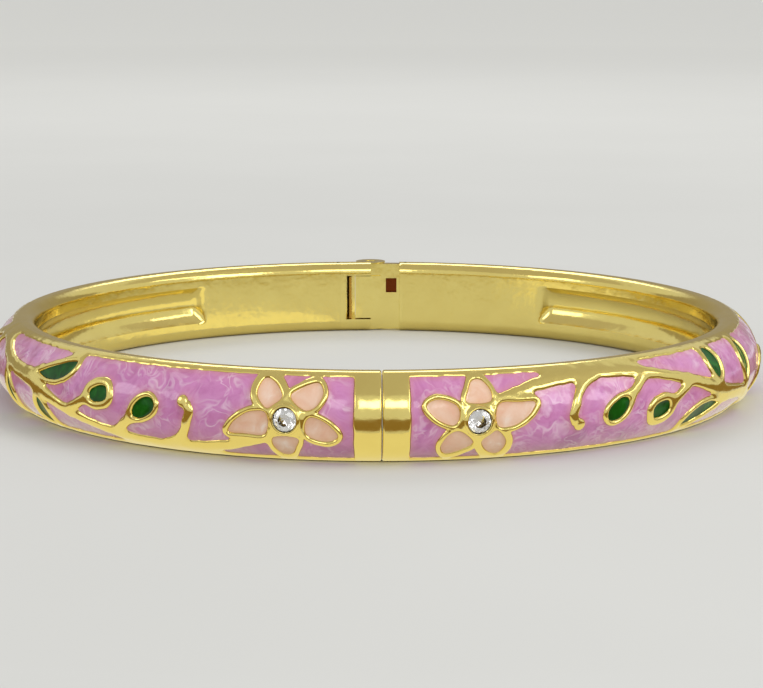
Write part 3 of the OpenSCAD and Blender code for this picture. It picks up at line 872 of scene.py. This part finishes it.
def stone_setting_tree():
    """Geometry nodes that set one stone on every seat, its axis along the seat's outward direction."""
    tree = bpy.data.node_groups.new("stones in their seats", "GeometryNodeTree")
    for name, kind in (("Seats", "Geometry"), ("Stone", "Object"), ("Size", "Float"), ("Spin", "Float"),
                       ("Clear", "Material"), ("Silvered", "Material")):
        tree.interface.new_socket(name, in_out="INPUT", socket_type="NodeSocket" + kind)
    tree.interface.new_socket("Stones", in_out="OUTPUT", socket_type="NodeSocketGeometry")
    given = tree.nodes.new("NodeGroupInput").outputs
    out = tree.nodes.new("NodeGroupOutput")
    stone = add_node(tree, "GeometryNodeObjectInfo", {"Object": given["Stone"]})
    outward = add_node(tree, "GeometryNodeInputNamedAttribute", {"Name": "outward"},
                       data_type="FLOAT_VECTOR")
    upright = add_node(tree, "FunctionNodeAlignRotationToVector", {"Vector": outward.outputs["Attribute"]},
                       axis="Z")
    chance = add_node(tree, "FunctionNodeRandomValue", {"Seed": 7}, data_type="FLOAT")
    about = add_node(tree, "FunctionNodeAxisAngleToRotation", {
        "Axis": (0, 0, 1), "Angle": math_node(tree, "MULTIPLY", chance.outputs[1], given["Spin"])})
    turn = add_node(tree, "FunctionNodeRotateRotation", {
        "Rotation": upright.outputs["Rotation"], "Rotate By": about.outputs["Rotation"]},
        rotation_space="LOCAL")
    place = add_node(tree, "GeometryNodeInstanceOnPoints", {
        "Points": given["Seats"], "Instance": stone.outputs["Geometry"],
        "Rotation": turn.outputs["Rotation"], "Scale": given["Size"]})
    real = add_node(tree, "GeometryNodeRealizeInstances", {"Geometry": place.outputs["Instances"]})
    clear = add_node(tree, "GeometryNodeSetMaterial", {
        "Geometry": real.outputs["Geometry"], "Material": given["Clear"]})
    back = add_node(tree, "GeometryNodeInputNamedAttribute", {"Name": "silvered"}, data_type="BOOLEAN")
    silver = add_node(tree, "GeometryNodeSetMaterial", {
        "Geometry": clear.outputs["Geometry"], "Selection": back.outputs["Attribute"],
        "Material": given["Silvered"]})
    feed(tree, out, {"Stones": silver.outputs["Geometry"]})
    return tree


def set_stones(tree, pattern, seats, side, clear, silvered):
    """The stones of one half band, set by the tree and made a plain mesh."""
    data = bpy.data.meshes.new("seats")
    s, z = np.array([seat for seat, _ in seats]).T
    level = np.zeros(len(seats))
    at = on_face(s, z, level, side)
    out = on_face(s, z, level + 1, side) - at
    data.from_pydata(at * MM, [], [])
    outward = data.attributes.new("outward", "FLOAT_VECTOR", "POINT")
    outward.data.foreach_set("vector", out.ravel().astype(np.float32))
    holder = into_scene("seats", data)
    setting = holder.modifiers.new("setting", "NODES")
    setting.node_group = tree
    sockets = {item.name: item.identifier for item in tree.interface.items_tree if item.in_out == "INPUT"}
    for name, value in (("Stone", pattern), ("Size", 1.0), ("Spin", 0.6), ("Clear", clear),
                        ("Silvered", silvered)):
        setting[sockets[name]] = value
    made = final_mesh(holder)
    bpy.data.objects.remove(holder)
    return made


def show(data, name, material, body, nodes, sharp=SHARP):
    """Puts a finished mesh into the scene as a piece of the bangle."""
    if material:
        data.materials.clear()
        data.materials.append(material)
    data.polygons.foreach_set("use_smooth", [True] * len(data.polygons))
    data.set_sharp_from_angle(angle=math.radians(sharp))
    piece = into_scene(name, data)
    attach(piece, body)
    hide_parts(*nodes)


# Materials

def plain_material(name):
    """A new material, its node tree and its Principled surface."""
    material = bpy.data.materials.new(name)
    material.use_nodes = True
    return material, material.node_tree, material.node_tree.nodes["Principled BSDF"]


def own_place(tree):
    """The place of a point on its piece."""
    return add_node(tree, "ShaderNodeTexCoord", {}).outputs["Object"]


def recess_at(tree):
    """The recess that the mesh carries at a point."""
    return add_node(tree, "ShaderNodeAttribute", {}, attribute_name="recess").outputs["Fac"]


def noise_at(tree, place, size, detail=3.0, roughness=0.5, distortion=0.0):
    """Noise whose lumps are about the given size in millimetres."""
    return add_node(tree, "ShaderNodeTexNoise", {
        "Vector": place, "Scale": 1 / (size * MM), "Detail": detail, "Roughness": roughness,
        "Distortion": distortion})


def ramp(tree, value, stops):
    """Colours along a value."""
    node = add_node(tree, "ShaderNodeValToRGB", {"Fac": value})
    elements = node.color_ramp.elements
    while len(elements) < len(stops):
        elements.new(0.5)
    for element, (at, colour) in zip(elements, stops):
        element.position = at
        element.color = (*colour, 1)
    return node.outputs["Color"]


def remap(tree, value, low, high, to_low, to_high):
    """A value moved from one range to another and held inside it."""
    return add_node(tree, "ShaderNodeMapRange", {
        "From Min": low, "From Max": high, "To Min": to_low, "To Max": to_high,
        "Value": value}).outputs["Result"]


def mixed(tree, share, first, second):
    """A colour that goes from the first to the second; each is an output or a fixed colour."""
    first, second = ((*c, 1) if isinstance(c, tuple) else c for c in (first, second))
    return add_node(tree, "ShaderNodeMix", {"Factor": share, "A": first, "B": second},
                    data_type="RGBA").outputs["Result"]


def bumps(tree, *heights):
    """Bumps one over the other, each a noise and its height in millimetres."""
    normal = None
    for noise, size in heights:
        feeds = {"Strength": 1.0, "Distance": size * MM, "Height": noise.outputs["Fac"]}
        if normal is not None:
            feeds["Normal"] = normal
        normal = add_node(tree, "ShaderNodeBump", feeds).outputs["Normal"]
    return normal


def polished_gold(name, tint, deep, shine):
    """Pale yellow gold plate: polished and slightly uneven from the casting, with painted shade that
    makes it deeper and warmer in the recesses and near black deep in a hollow."""
    material, tree, surface = plain_material(name)
    place, recess = own_place(tree), recess_at(tree)
    cloud = noise_at(tree, place, 2.5, 3)
    speck = noise_at(tree, place, 0.35, 4, 0.6)
    swell = noise_at(tree, place, 1.6, 2)
    patches = remap(tree, cloud.outputs["Fac"], 0.35, 0.7, 0.0, 0.12)
    # painted shade: the recess mixes the gold towards the deep colour, and past 1 towards near black
    warm = mixed(tree, math_node(tree, "MULTIPLY_ADD", recess, 0.55, patches), tint, deep)
    feed(tree, surface, {
        "Base Color": mixed(tree, remap(tree, recess, 1.0, 1.6, 0.0, 1.0), warm, (0.16, 0.035, 0.008)),
        "Metallic": 1.0,
        "Roughness": remap(tree, speck.outputs["Fac"], 0.3, 0.75, *shine),
        "Normal": bumps(tree, (swell, 0.035), (speck, 0.004))})
    return material


def fine_streaks(tree, place, size):
    """Thin winding lines, one where they run and zero elsewhere, gathered in patches."""
    winding = noise_at(tree, place, size, 2, 0.45, 1.1)
    away = math_node(tree, "ABSOLUTE", math_node(tree, "SUBTRACT", winding.outputs["Fac"], 0.5))
    line = remap(tree, away, 0.0, 0.075, 1.0, 0.0)
    patch = noise_at(tree, place, size * 1.7, 2)
    return math_node(tree, "MULTIPLY", line, remap(tree, patch.outputs["Fac"], 0.42, 0.66, 0.0, 0.55))


def swirled_enamel(name, size, colours, fringe, streak=None, coat=0.6, shine=0.5):
    """Pearly enamel: clouds and streaks of a few colours under a glossy skin, with a fringe of another
    colour beside the gold."""
    material, tree, surface = plain_material(name)
    place = own_place(tree)
    warp = noise_at(tree, place, size * 1.6, 2)
    shift = add_node(tree, "ShaderNodeVectorMath", {
        0: warp.outputs["Color"], 1: (size * MM * 1.4,) * 3, 2: place}, operation="MULTIPLY_ADD").outputs[0]
    cloud = noise_at(tree, shift, size, 5, 0.55, 0.6).outputs["Fac"]
    tone = ramp(tree, cloud, colours)
    if streak:
        tone = mixed(tree, fine_streaks(tree, shift, size * 0.62), tone, streak)
    beside_gold = remap(tree, recess_at(tree), 0.0, 1.0, 0.55, 0.0)
    skin = noise_at(tree, place, 1.2, 2)
    grain = noise_at(tree, place, 0.25, 3, 0.6)
    feed(tree, surface, {
        "Base Color": mixed(tree, beside_gold, tone, fringe),
        "Roughness": remap(tree, cloud, 0.3, 0.7, 0.1, 0.22),
        "Coat Weight": coat,
        "Coat Roughness": 0.06,
        "IOR": 1.5,
        "Specular IOR Level": shine,
        "Normal": bumps(tree, (skin, 0.05), (grain, 0.003))})
    return material


def cut_crystal(name):
    """Clear faceted stone."""
    material, tree, surface = plain_material(name)
    haze = noise_at(tree, own_place(tree), 0.5, 2)
    feed(tree, surface, {
        "Base Color": ramp(tree, haze.outputs["Fac"], [(0.3, (0.97, 0.97, 1.0)), (0.8, (1.0, 1.0, 1.0))]),
        "Roughness": remap(tree, haze.outputs["Fac"], 0.3, 0.7, 0.0, 0.02),
        "Transmission Weight": 1.0,
        "IOR": 2.1,
        "Normal": bumps(tree, (haze, 0.0005))})
    return material


gold = polished_gold("polished gold plate", (0.91, 0.76, 0.25), (0.62, 0.42, 0.09), (0.09, 0.2))
pin_metal = polished_gold("pin, gold plated", (0.80, 0.66, 0.28), (0.5, 0.34, 0.1), (0.15, 0.3))
spring_metal = polished_gold("spring leaf, gold plated", (0.58, 0.33, 0.06), (0.4, 0.22, 0.06), (0.2, 0.35))
foil = polished_gold("silvered cup", (0.93, 0.93, 0.92), (0.8, 0.8, 0.8), (0.02, 0.08))
crystal = cut_crystal("cut crystal")
lilac = swirled_enamel("lilac enamel", 2.4, [
    (0.28, (0.40, 0.11, 0.34)), (0.42, (0.52, 0.17, 0.44)), (0.52, (0.60, 0.23, 0.52)),
    (0.60, (0.54, 0.18, 0.45)), (0.74, (0.80, 0.53, 0.74))], (0.62, 0.25, 0.22), (0.90, 0.76, 0.86))
peach = swirled_enamel("peach enamel", 1.6, [
    (0.30, (0.78, 0.44, 0.30)), (0.48, (0.80, 0.51, 0.36)), (0.62, (0.83, 0.57, 0.43)),
    (0.76, (0.88, 0.72, 0.62))], (0.72, 0.42, 0.20))
green = swirled_enamel("green enamel", 1.2, [
    (0.30, (0.002, 0.045, 0.002)), (0.55, (0.004, 0.095, 0.004)), (0.75, (0.02, 0.17, 0.015))],
    (0.004, 0.04, 0.003), coat=0.08, shine=0.2)


# The two cast halves and their enamel

outlines = half_outlines()
net = face_net(outlines)
ends = ("front", "back")
pattern_stone = into_scene("brilliant", brilliant())
setting_tree = stone_setting_tree()
for side, body, hinge_end in (("left", "root", left_hinge_end), ("right", "right_half", right_hinge_end)):
    band = together(gold_half(outlines, net, side), hinge_end())
    show(band, side + "_cast_band", gold, body, [side + "_band"])
    stones = set_stones(setting_tree, pattern_stone, net[2], side, crystal, foil)
    show(stones, side + "_stones", None, body, [f"{side}_{end}_stone" for end in ends], 1)
    show(enamel_pieces(outlines, net, side, GROUND), side + "_lilac_enamel", lilac, body,
         [side + "_ground"])
    show(enamel_pieces(outlines, net, side, PETAL), side + "_peach_petals", peach, body,
         [f"{side}_{end}_petal_{i + 1}" for end in ends for i in range(len(PETALS))])
    show(enamel_pieces(outlines, net, side, LEAF), side + "_green_leaves", green, body,
         [f"{side}_{end}_leaf_{i + 1}" for end in ends for i in range(len(LEAVES))])

bpy.data.objects.remove(pattern_stone)

for name, metal in (("hinge_pin", pin_metal), ("hinge_spring", spring_metal)):
    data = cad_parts[name].data
    data.materials.clear()
    data.materials.append(metal)


# Floor, lights and camera, in metres

# what each soft box is called, where it stands, its width and height, and its power; all look at the middle
SOFT_BOXES = (
    ("front box", (0.05, -0.52, 0.31), (0.4, 0.17), 0.48),
    ("back box", (0, 0.4, 0.4), (0.3, 0.2), 0.45),
    ("left box", (-0.5, -0.15, 0.25), (0.2, 0.2), 0.25),
    ("right box", (0.32, -0.08, 0.36), (0.3, 0.3), 0.6),
    ("low right box", (0.45, -0.3, 0.22), (0.25, 0.2), 0.45),
)
# The ring cards are painted reflections of light and shade on the floor round the bangle.
# ring cards: colour, inner and outer radius in millimetres, and the two directions between which they lie
RING_CARDS = (
    # painted reflection of light bounced onto the floor under the bangle
    ("pale card", (0.85, 0.80, 0.62), 31.2, 37.5, 0, 360),
    # painted reflection of bright light on the floor inside the ring
    ("inner card", (1.0, 0.95, 0.72), 15.0, 25.5, 95, 178),
    # painted reflection of the shaded floor round the bangle
    ("brown card", (0.27, 0.175, 0.06), 38.5, 85.0, 0, 360),
)
CARD_UP = 0.1
RING_STEPS = 96
FLOOR_R = 6
ROOM = (0.70, 0.70, 0.69)

# The camera, from a fit of the bangle's rims: its place in millimetres, its turns in radians, and its focal
# length in pixels of the picture
CAMERA_PLACE = (-2.9392, -203.5144, 38.2072)
YAW, PITCH, ROLL = 0.0169, -0.1677, 0.0016
FOCAL_PIXELS = 2305.45
PICTURE_W = 763
SENSOR_W = 36


def stage_floor():
    """A pale floor that reaches past the picture, with painted light: paler further from the middle."""
    data = bpy.data.meshes.new("floor")
    turns = np.linspace(0, 2 * math.pi, RING_STEPS + 1)[:-1]
    data.from_pydata([(FLOOR_R * math.cos(a), FLOOR_R * math.sin(a), 0) for a in turns], [],
                     [tuple(range(RING_STEPS))])
    material, tree, surface = plain_material("pale floor")
    place = own_place(tree)
    cloud = noise_at(tree, place, 60, 3)
    near = ramp(tree, cloud.outputs["Fac"], [(0.3, (0.62, 0.62, 0.60)), (0.7, (0.64, 0.64, 0.62))])
    away = add_node(tree, "ShaderNodeVectorMath", {0: place}, operation="LENGTH").outputs["Value"]
    # painted light: the floor is painted paler with distance from the middle, where less lamp light falls
    far = remap(tree, away, 0.15, 0.8, 0.0, 1.0)
    feed(tree, surface, {"Base Color": mixed(tree, far, near, (0.90, 0.90, 0.87)), "Roughness": 0.9,
                         "Specular IOR Level": 0.05})
    data.materials.append(material)
    into_scene("floor", data)


def soft_box(name, place, size, power):
    """A square soft box that looks at the middle."""
    data = bpy.data.lights.new(name, "AREA")
    data.shape = "RECTANGLE"
    data.size, data.size_y = size
    data.energy = power
    light = into_scene(name, data)
    light.location = place
    light.rotation_euler = (Vector() - Vector(place)).to_track_quat("-Z", "Y").to_euler()


def pale_room():
    """A pale room, evenly bright."""
    world = bpy.data.worlds.new("room")
    bpy.context.scene.world = world
    world.use_nodes = True
    feed(world.node_tree, world.node_tree.nodes["Background"], {"Color": (*ROOM, 1), "Strength": 1.0})


def card(name, colour, points, faces):
    """A painted reflection: a sheet that glows with one even colour and only shows in reflections."""
    data = bpy.data.meshes.new(name)
    data.from_pydata(points, [], faces)
    material, tree, surface = plain_material(name)
    feed(tree, surface, {"Base Color": (0, 0, 0, 1), "Specular IOR Level": 0.0,
                         "Emission Color": (*colour, 1), "Emission Strength": 1.0})
    data.materials.append(material)
    piece = into_scene(name, data)
    piece.visible_camera = False
    piece.visible_diffuse = False
    piece.visible_shadow = False
    piece.visible_transmission = False


def ring_card(name, colour, inner, outer, start, end):
    """A flat ring of card just over the floor, or a part of one."""
    turns = np.radians(np.linspace(start, end, RING_STEPS + 1))
    points = [(r * MM * math.cos(a), r * MM * math.sin(a), CARD_UP * MM)
              for r in (inner, outer) for a in turns]
    n = RING_STEPS + 1
    card(name, colour, points, [(k, k + 1, n + k + 1, n + k) for k in range(RING_STEPS)])


def camera():
    """The photograph's view."""
    ahead = Vector((math.sin(YAW) * math.cos(PITCH), math.cos(YAW) * math.cos(PITCH), math.sin(PITCH)))
    level = Vector((math.cos(YAW), -math.sin(YAW), 0))
    upright = level.cross(ahead)
    right = math.cos(ROLL) * level + math.sin(ROLL) * upright
    up = -math.sin(ROLL) * level + math.cos(ROLL) * upright
    data = bpy.data.cameras.new("camera")
    data.sensor_width = SENSOR_W
    data.lens = FOCAL_PIXELS * SENSOR_W / PICTURE_W
    data.clip_start = 0.01
    data.clip_end = 100
    view = into_scene("camera", data)
    turn = Matrix((right, up, -ahead)).transposed()
    view.matrix_world = Matrix.Translation(Vector(CAMERA_PLACE) * MM) @ turn.to_4x4()
    bpy.context.scene.camera = view


stage_floor()
pale_room()
for box in SOFT_BOXES:
    soft_box(*box)
for ring in RING_CARDS:
    ring_card(*ring)
# painted reflections of a dim grey ceiling and a dim wall behind; they glow and show only in reflections
card("grey ceiling", (0.52, 0.49, 0.47), [(-0.5, -0.27, 0.3), (0.5, -0.27, 0.3), (0.5, 0.2, 0.3),
                                          (-0.5, 0.2, 0.3)], [(0, 3, 2, 1)])
card("grey backdrop", (0.35, 0.31, 0.24), [(-1.5, 0.8, 0), (1.5, 0.8, 0), (1.5, 0.8, 0.4),
                                           (-1.5, 0.8, 0.4)], [(0, 1, 2, 3)])
camera()
bpy.context.scene.view_settings.view_transform = "Standard"
